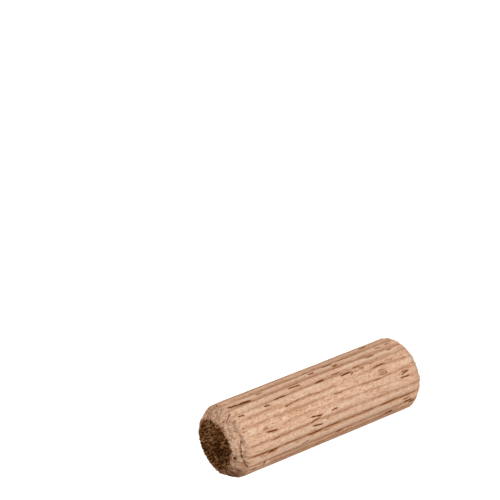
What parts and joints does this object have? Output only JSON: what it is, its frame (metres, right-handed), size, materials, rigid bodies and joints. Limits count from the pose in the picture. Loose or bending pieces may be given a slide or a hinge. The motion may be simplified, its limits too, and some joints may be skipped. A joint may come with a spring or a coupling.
{
  "type": "fluted dowel pin",
  "caption": "Round wooden dowel pin with straight lengthwise flutes all round and a chamfer at each sawn end, for gluing into blind holes to join panels.",
  "frame": {"origin": "centre of the lower end face, on which the pin stands", "axes": "+Z along the pin's axis, from the end with the smaller chamfer up to the end with the larger one; +X through a crest between two flutes, 2.5 degrees anticlockwise of that crest's middle"},
  "size_m": [0.0096, 0.0096, 0.03],
  "materials": {
    "beech": "matte"
  },
  "bodies": {
    "root": {"dowel_pin": "beech"}
  },
  "joints": []
}
